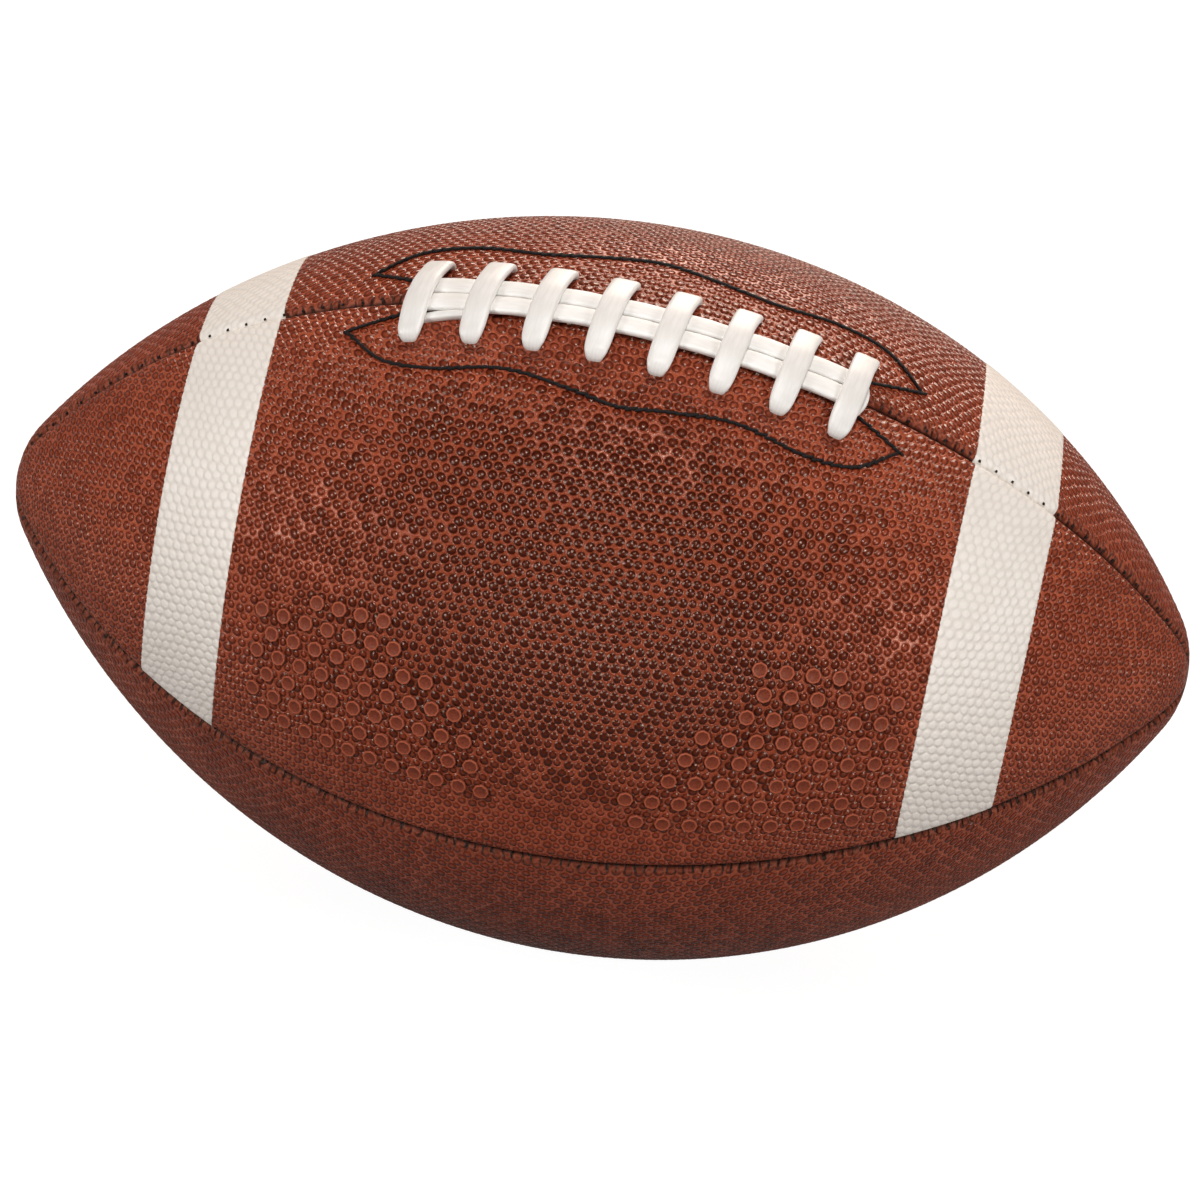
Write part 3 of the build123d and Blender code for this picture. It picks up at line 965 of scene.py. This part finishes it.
def make_panel(name, number):
    """One leather panel as a closed skin: pebbled outside, turned edges, and its inner face."""
    shares, extras = lines_across(PANEL_LINES)
    inner = [(1, 0.0, TURNED_EDGE), (1, LEATHER, TURNED_EDGE)]
    inner += [(1 - share, LEATHER, LEATHER) for share in INNER_SHARES]
    inner += [(0, LEATHER, TURNED_EDGE), (0, 0.0, TURNED_EDGE)]
    outer_count = len(shares)
    columns = outer_count + len(inner)
    stations = MERIDIAN * np.linspace(-1, 1, PANEL_STATIONS + 1)

    def place(row, column):
        along = stations[row]
        column = column % columns
        outside = column < outer_count
        here = np.minimum(column, outer_count - 1)
        turn, lift, across, edge, width = panel_surface(number, along, shares[here], extras[here])
        dip, painted_shade, calm = lace_marks(number, along, across, width)
        if number == 0:
            painted_shade = np.maximum(painted_shade, grip_painted_shade(along, turn))
        if number == 2:
            from_valve = np.hypot(along, (turn - VALVE_TURN) * reach_at(along))
            well = 1 / (1 + np.exp((from_valve - VALVE_WELL_RADIUS) / VALVE_WELL_SOFTNESS))
            dip += VALVE_WELL_DEPTH * well
            calm *= 1 - np.exp(-((from_valve / VALVE_CALM_RADIUS) ** 6))
        inside = np.array(inner + [inner[-1]])[np.clip(column - outer_count, 0, len(inner))]
        scale = np.minimum(1, width / (6 * LEATHER))
        in_across = inside[:, 1] * scale + inside[:, 0] * (width - 2 * inside[:, 1] * scale)
        in_across += SEAM_GAP * np.sign(width / 2 - in_across)
        in_turn = seam_turn(number, along) + in_across / np.maximum(reach_at(along), LEAST_REACH)
        turn = np.where(outside, turn, in_turn)
        lift = np.where(outside, lift - dip, -inside[:, 2])
        relief = relief_at(edge) * calm * outside * np.clip(width / RELIEF_NARROW, 0, 1)
        notes = {
            "grain": pebble_pattern(along, across, width, number),
            "edge": np.where(outside, edge, 0.0),
            "painted_shade": np.where(outside, painted_shade, INSIDE_PAINTED_SHADE),
            "gather": np.full(along.shape, GATHERS[name]),
            "middle_darkening": MIDDLE_DARKENING_FLOORS[name] + MIDDLE_DARKENINGS[name] * middle_darkening_share(along, edge),
            "relief": relief,
        }
        return ball_points(along, turn, lift), notes

    panel = new_sheet("leather_" + name, PANEL_STATIONS, columns, place)
    close_up(panel)
    raise_pebbles(panel)
    return dress(panel, leather, "leather", "panel_" + name)


for panel_name, panel_number in PANELS.items():
    make_panel(panel_name, panel_number)


# Painted stripes

def ragged(values, seed):
    """A small uneven wave along an edge."""
    waves = np.zeros(values.shape)
    for size, pace, shift in RAGGED_WAVES:
        waves += size * np.sin(values * pace + shift * seed)
    return STRIPE_RAGGED * waves / 2


def make_stripe(side, end):
    """One stripe: a thin coat over the panel's face, from seam to seam."""
    low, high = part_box(f"stripe_{side}_{end}")
    number = PANELS["upper_" + side]
    laced_trims, side_trims = STRIPE_TRIMS[end]
    shares, extras = lines_across(STRIPE_LINES)
    columns = len(shares) - 1
    rows = STRIPE_STATIONS + 2

    def place(row, column):
        share = np.clip(shares[column], 0, 1)
        from_lace = share if number == 0 else 1 - share
        ends = []
        for which, box_end in enumerate((low.x, high.x)):
            trim = laced_trims[which] * (1 - from_lace) + side_trims[which] * from_lace
            ends.append(box_end / MM + trim + ragged(share * RAGGED_SPAN, 1.0 + 3 * which + number))
        inside = np.clip((row - 1) / STRIPE_STATIONS, 0, 1)
        along = along_at(ends[0] + (ends[1] - ends[0]) * inside)
        turn, lift, across, edge, width = panel_surface(number, along, shares[column], extras[column])
        rim = (row == 0) | (row == rows)
        length = np.abs(along_at(ends[1]) - along_at(ends[0]))
        from_rim = np.minimum(inside, 1 - inside) * length
        lift = lift + STRIPE_LIFT * np.clip(from_rim / STRIPE_RIM_RISE + STRIPE_RIM_SHARE, 0, 1)
        lift = np.where(rim, lift - STRIPE_FILM, lift)
        relief = STRIPE_RELIEF_SHARE * relief_at(edge) * np.clip(from_rim / STRIPE_RELIEF_RISE, 0, 1)
        notes = {
            "grain": pebble_pattern(along, across, width, number),
            "edge": np.minimum(edge + STRIPE_SHADE_SEAM_SHIFT, from_rim + STRIPE_SHADE_RIM_SHIFT),
            "relief": np.where(rim, 0.0, relief),
        }
        return ball_points(along, turn, lift), notes

    stripe = new_sheet(f"paint_{side}_{end}", rows, columns, place)
    close_up(stripe, smooth=60)
    raise_pebbles(stripe)
    thickness = stripe.modifiers.new("film", "SOLIDIFY")
    thickness.thickness = STRIPE_FILM * MM / 2
    thickness.offset = -1
    apply_modifier(stripe, thickness)
    return dress(stripe, stripe_paint, "stripe", f"stripe_{side}_{end}")


for stripe_side in ("front", "back"):
    for stripe_end in ("left", "right"):
        make_stripe(stripe_side, stripe_end)


# Lace: modelled flat as along, across (front positive) and lift, then laid over the seam

SECTION_POINTS = 20
SECTION_FULLNESS = 0.42
SECTION_CROWN = 0.7


def ribbon(name, path, widths, flat_way, painted_lightness, count=8, thickness=LACE_THICKNESS):
    """A lace strand with rounded edges along a path, as wide as given at each of its points."""
    line = smooth_path(path, count)
    width = smooth_path(np.array(widths, float)[:, None], count)[:, 0]
    tangent = np.gradient(line, axis=0)
    tangent /= np.linalg.norm(tangent, axis=1)[:, None]
    flat = np.array(flat_way, float) - tangent * (tangent @ np.array(flat_way, float))[:, None]
    flat /= np.linalg.norm(flat, axis=1)[:, None]
    up = np.cross(tangent, flat)
    length = np.concatenate([[0], np.cumsum(np.linalg.norm(np.diff(line, axis=0), axis=1))])
    angles = 2 * math.pi * np.arange(SECTION_POINTS + 1) / SECTION_POINTS
    flat_share = np.sign(np.cos(angles)) * np.abs(np.cos(angles)) ** SECTION_FULLNESS
    up_share = np.sign(np.sin(angles)) * np.abs(np.sin(angles)) ** SECTION_CROWN
    rows = len(line) + 1

    def place(row, column):
        at = np.clip(row - 1, 0, len(line) - 1)
        open_share = np.where((row == 0) | (row == rows), 0.0, 1.0)
        sideways = width[at] / 2 * flat_share[column] * open_share
        upward = thickness / 2 * up_share[column] * open_share
        points = line[at] + flat[at] * sideways[:, None] + up[at] * upward[:, None]
        notes = {
            "lay": np.stack([length[at], sideways, upward], axis=-1),
            "painted_lightness": np.full(at.shape, painted_lightness),
        }
        return beside_seam(points[:, 0], points[:, 1], points[:, 2]), notes

    return close_up(new_sheet(name, rows, SECTION_POINTS, place))


STRAP_PROFILE = (
    (1.0, -3.6), (1.0, -1.2), (0.985, 0.15), (0.9, 1.15), (0.7, 1.85),
    (0.46, 2.75), (0.24, 3.3), (0.0, 3.42), (-0.24, 3.3), (-0.46, 2.85),
    (-0.7, 2.25), (-0.9, 1.75), (-1.0, 0.9), (-1.03, -0.6), (-1.0, -3.6),
)
STRAP_WIDTHS = (2.6, 3.1, 4.2, 5.2, 5.7, 5.8, 5.8, 5.8, 5.8, 5.8, 5.9, 6.0, 6.1, 5.8, 4.8)


def make_strap(number):
    station = (number - (STRAP_COUNT - 1) / 2) * STRAP_PITCH
    path = []
    for reach, lift in STRAP_PROFILE:
        hook = STRAP_HOOK * max(0, -reach - STRAP_HOOK_START) / (1 - STRAP_HOOK_START)
        path.append((station - reach * STRAP_LEAN / 2 + hook, reach * STRAP_REACH, lift))
    return ribbon(f"strap_{number}", path, STRAP_WIDTHS, (1, 0, 0), painted_lightness=0.0)


def make_run(name, middle):
    """One lengthwise run: it passes under the straps and dives at both ends."""
    path = [(-LACE_HALF_SPAN - past, middle, lift) for past, lift in RUN_DIVE]
    for number in range(2 * STRAP_COUNT - 1):
        station = -LACE_HALF_SPAN + number * STRAP_PITCH / 2
        path.append((station, middle, RUN_BETWEEN if number % 2 else RUN_UNDER_STRAP))
    path += [(LACE_HALF_SPAN + past, middle, lift) for past, lift in RUN_DIVE[::-1]]
    widths = [RUN_WIDTH] * len(path)
    return ribbon(name, path, widths, (0, 1, 0), painted_lightness=1.0, count=6, thickness=RUN_THICKNESS)


def make_loose_strands():
    """The starting strand that shows under the runs at the left, and the tucked end at the right."""
    start = [(-50.5, 7.0, -1.2), (-48.5, 6.7, 0.4), (-45.0, 6.2, 0.8), (-40.0, 5.5, 0.75), (-35.5, 4.8, 0.6)]
    end = [(51.0, -4.5, 0.6), (51.9, -1.5, 1.4), (51.9, 2.0, 1.4), (51.0, 4.8, 0.8), (50.2, 6.4, -0.8)]
    return [
        ribbon("starting_strand", start, [1.6, 2.0, 2.2, 2.0, 1.6], (0, 1, 0), painted_lightness=0.5),
        ribbon("tucked_end", end, [3.0, 4.0, 4.2, 3.6, 2.6], (1, 0, 0), painted_lightness=0.5),
    ]


lace_parts = [make_strap(number) for number in range(STRAP_COUNT)]
lace_parts += [make_run("run_front", RUN_MIDDLE), make_run("run_back", -RUN_MIDDLE)]
lace_parts += make_loose_strands()
dress(joined("laid_lace", lace_parts), lace_vinyl, "lace", "lace")


# Thread

def thread_bead(name, length, width, height):
    """One stitch of thread: a short rounded bar along X."""
    bpy.ops.object.select_all(action="DESELECT")
    bpy.ops.mesh.primitive_cylinder_add(vertices=8, radius=0.5, depth=1, rotation=(0, math.pi / 2, 0))
    bead = bpy.context.object
    bead.name = name
    bpy.ops.object.transform_apply(location=True, rotation=True, scale=True)
    bpy.ops.object.mode_set(mode="EDIT")
    bpy.ops.mesh.select_all(action="SELECT")
    bpy.ops.mesh.bevel(offset=0.2, segments=2, affect="EDGES")
    bpy.ops.mesh.select_all(action="SELECT")
    bpy.ops.transform.resize(value=(length * MM, width * MM, height * MM))
    bpy.ops.object.mode_set(mode="OBJECT")
    bpy.ops.object.transform_apply(location=True, rotation=True, scale=True)
    bpy.ops.object.shade_smooth()
    return bead


def leaf_places(side):
    """Where the stitches of one leaf lie, each a little askew."""
    leaf = LEAVES[side]
    steps = np.linalg.norm(np.diff(leaf, axis=0), axis=1)
    length = np.concatenate([[0], np.cumsum(steps)])
    count = int(length[-1] / THREAD_STITCH)
    places = []
    for number in range(count):
        middle = (number + 0.5) * length[-1] / count
        along, ahead_along = np.interp((middle - 0.2, middle + 0.2), length, leaf[:, 0])
        across, ahead_across = np.interp((middle - 0.2, middle + 0.2), length, leaf[:, 1])
        askew = THREAD_SWAY * math.sin(THREAD_SWAY_PACE * number) + THREAD_SPIN
        turn = seam_turn(0, along) + side * across / reach_at(along)
        spin = math.atan2(-side * (ahead_across - across), ahead_along - along) + askew
        places.append(ball_place(float(along), float(turn), THREAD_LIFT, spin))
    return places


for leaf_side, side_name in ((1, "front"), (-1, "back")):
    bead = thread_bead("stitch", THREAD_STITCH * THREAD_OVERLAP, THREAD_WIDTH, THREAD_HEIGHT)
    leaf_thread = copies(f"leaf_thread_{side_name}", bead, leaf_places(leaf_side))
    dress(leaf_thread, thread, "thread", f"facing_stitch_{side_name}")


def seam_places(number, start, end):
    """Stitches across one seam, from one distance along to another."""
    count = int(round((end - start) / SEAM_STITCH_PITCH))
    places = []
    for index in range(count):
        along = start + (index + 0.5) * (end - start) / count
        turn = seam_turn(number, along) - SEAM_STITCH_OFFSET / reach_at(along)
        lean = SEAM_STITCH_SWAY * math.sin(SEAM_STITCH_SWAY_PACE * index)
        places.append(ball_place(float(along), float(turn), -SEAM_STITCH_DEPTH, lean))
    return places


seam_end = MERIDIAN - SEAM_END_MARGIN
seam_rows = {
    "top_left": (0, -seam_end, -SLIT_HALF_LENGTH),
    "top_right": (0, SLIT_HALF_LENGTH, seam_end),
    "front": (1, -seam_end, seam_end),
    "bottom": (2, -seam_end, seam_end),
    "back": (3, -seam_end, seam_end),
}
for row_name, seam_row in seam_rows.items():
    bead = thread_bead("stitch", *SEAM_STITCH_SIZE)
    seam_thread = copies(f"seam_thread_{row_name}", bead, seam_places(*seam_row))
    dress(seam_thread, thread, "thread", f"seam_stitches_{row_name}")


# Grip dots

def grip_dot():
    """One raised dot: a low round boss with a soft rim and a shallow dish."""
    bpy.ops.object.select_all(action="DESELECT")
    bpy.ops.mesh.primitive_cylinder_add(vertices=8, radius=GRIP_RADIUS * MM, depth=2 * GRIP_HEIGHT * MM)
    dot = bpy.context.object
    dot.name = "grip_dot"
    bpy.ops.object.mode_set(mode="EDIT")
    bpy.ops.mesh.select_mode(type="FACE")
    bpy.ops.mesh.select_all(action="DESELECT")
    bpy.ops.object.mode_set(mode="OBJECT")
    top = max(dot.data.polygons, key=lambda face: face.center.z)
    top.select = True
    bpy.ops.object.mode_set(mode="EDIT")
    for thickness, depth in GRIP_INSETS:
        bpy.ops.mesh.inset(thickness=thickness * MM, depth=depth * MM)
    bpy.ops.object.mode_set(mode="OBJECT")
    bpy.ops.object.shade_smooth_by_angle(angle=math.radians(50))
    height = np.array([point.co.z / MM for point in dot.data.vertices])
    write_note(dot, "rim", np.where(height > GRIP_HEIGHT + 0.1, 1.0, 0.0))
    return dot


grip_places = [ball_place(along, turn, 0.0) for along, turn in grip_spots()]
dress(copies("grip_dots", grip_dot(), grip_places), dot_leather, "leather")


# Valve

def turned_ring(name, profile, columns=40):
    """A ring turned from a closed profile of radius and lift, on the valve's axis."""
    profile = np.array(list(profile) + [profile[0]])
    base = ball_place(0.0, VALVE_TURN, 0.0)

    def place(row, column):
        angle = 2 * math.pi * column / columns
        radius, lift = profile[row].T
        flat = np.stack([radius * np.cos(angle), radius * np.sin(angle), lift], axis=-1)
        turned = np.array(base.to_3x3())
        return flat @ turned.T + np.array(base.translation) / MM, {}

    return close_up(new_sheet(name, len(profile) - 1, columns, place), smooth=45)


SEAT_RING = (
    (2.5, -2.7), (2.5, -0.4), (2.75, -0.05), (3.3, 0.16),
    (4.0, 0.18), (4.5, 0.02), (4.7, -0.3), (4.7, -2.7),
)
PLUG_RING = (
    (0.55, -2.7), (1.0, -2.6), (1.0, -0.95), (1.2, -0.7),
    (1.7, -0.55), (2.2, -0.65), (2.42, -0.95), (2.42, -2.7),
)
dress(turned_ring("valve_seat_rim", SEAT_RING), valve_rubber, "valve", "valve_seat")
dress(turned_ring("valve_plug_top", PLUG_RING), valve_rubber, "valve", "valve_plug")


# Inner pieces: the frame's own, settled with the rest

def settled_copy(node, material, slot):
    """A copy of a frame piece, joined up and moved as the ball has settled."""
    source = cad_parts[node]
    piece = bpy.data.objects.new("inner_" + node, source.data.copy())
    bpy.context.collection.objects.link(piece)
    moved = settle(points_of(piece) / MM) * MM
    piece.data.vertices.foreach_set("co", moved.ravel())
    select_only(piece)
    bpy.ops.object.mode_set(mode="EDIT")
    bpy.ops.mesh.select_all(action="SELECT")
    bpy.ops.mesh.remove_doubles(threshold=0.001 * MM)
    bpy.ops.object.mode_set(mode="OBJECT")
    bpy.ops.object.shade_smooth_by_angle(angle=math.radians(40))
    return dress(piece, material, slot, node)


for panel_name in PANELS:
    settled_copy("lining_" + panel_name, lining_cloth, "lining")
for facing_side in ("front", "back"):
    settled_copy("facing_" + facing_side, facing_leather, "facing")
settled_copy("lace_guard", guard_leather, "guard")
settled_copy("bladder", bladder_rubber, "bladder")


# Floor, light and camera

def make_floor():
    """A pale floor that keeps a soft shadow and lets views from below through."""
    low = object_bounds()[0]
    bpy.ops.object.select_all(action="DESELECT")
    bpy.ops.mesh.primitive_plane_add(size=FLOOR_SIZE, location=(0, 0, low.z))
    floor = bpy.context.object
    floor.name = "floor"
    material = bpy.data.materials.new("pale_floor")
    material.use_nodes = True
    wires = Wires(material.node_tree)
    nodes = material.node_tree.nodes
    nodes.clear()
    paper = wires.add("ShaderNodeBsdfDiffuse", {"Color": FLOOR_GREY}).outputs[0]
    path = wires.add("ShaderNodeLightPath").outputs
    seen = wires.times(path["Is Camera Ray"], FLOOR_GLOW)
    glow = wires.add("ShaderNodeEmission", {"Color": WHITE, "Strength": seen}).outputs[0]
    mixed = wires.add("ShaderNodeAddShader", {0: paper, 1: glow}).outputs[0]
    under = wires.add("ShaderNodeNewGeometry").outputs["Backfacing"]
    clear = wires.add("ShaderNodeBsdfTransparent").outputs[0]
    both = wires.add("ShaderNodeMixShader", {0: under, 1: mixed, 2: clear}).outputs[0]
    wires.join(both, wires.add("ShaderNodeOutputMaterial").inputs["Surface"])
    floor.data.materials.append(material)


def make_world():
    """White where the camera looks, and a soft fill for the rest."""
    world = bpy.data.worlds.new("studio")
    bpy.context.scene.world = world
    world.use_nodes = True
    wires = Wires(world.node_tree)
    wires.tree.nodes.clear()
    path = wires.add("ShaderNodeLightPath").outputs
    colour = wires.mix(path["Is Camera Ray"], WORLD_FILL, WHITE)
    light = wires.add("ShaderNodeBackground", {"Color": colour, "Strength": 1.0}).outputs[0]
    wires.join(light, wires.add("ShaderNodeOutputWorld").inputs["Surface"])


def soft_box(name, place, size, power, colour=LAMP_COLOUR):
    """A square lamp that faces the ball."""
    lamp = bpy.data.lights.new(name, "AREA")
    lamp.size = size
    lamp.energy = power
    lamp.color = colour
    box = bpy.data.objects.new(name, lamp)
    box.location = place
    box.rotation_euler = (-Vector(place)).to_track_quat("-Z", "Y").to_euler()
    bpy.context.collection.objects.link(box)


def make_camera():
    yaw, pitch, roll = [math.radians(v) for v in (CAMERA_YAW, CAMERA_PITCH, CAMERA_ROLL)]
    forward = Vector((-math.sin(yaw) * math.cos(pitch), math.cos(yaw) * math.cos(pitch), -math.sin(pitch)))
    right = Vector((math.cos(yaw), math.sin(yaw), 0))
    down = forward.cross(right)
    turned_right = right * math.cos(roll) - down * math.sin(roll)
    turned_down = right * math.sin(roll) + down * math.cos(roll)
    place = -(turned_right * CAMERA_SHIFT[0] + turned_down * CAMERA_SHIFT[1] + forward * CAMERA_DISTANCE)
    lens = bpy.data.cameras.new("photo_camera")
    lens.sensor_width = SENSOR
    lens.lens = CAMERA_FOCAL_PIXELS / PHOTO_WIDTH * SENSOR
    camera = bpy.data.objects.new("photo_camera", lens)
    axes = Matrix((turned_right, -turned_down, -forward)).transposed().to_4x4()
    camera.matrix_world = Matrix.Translation(place * MM) @ axes
    bpy.context.collection.objects.link(camera)
    bpy.context.scene.camera = camera


make_floor()
make_world()
soft_box("top", (0.0, -0.1, 1.68), 0.3, 12.4)
soft_box("right", (1.3, -0.7, 0.8), 0.6, 14.2)
soft_box("left", (-1.3, -0.7, 0.8), 0.6, 14.0)
soft_box("back", (0.1, 1.7, 0.36), 0.8, 20.0, BACK_LAMP_COLOUR)
make_camera()
bpy.context.scene.view_settings.view_transform = "Standard"
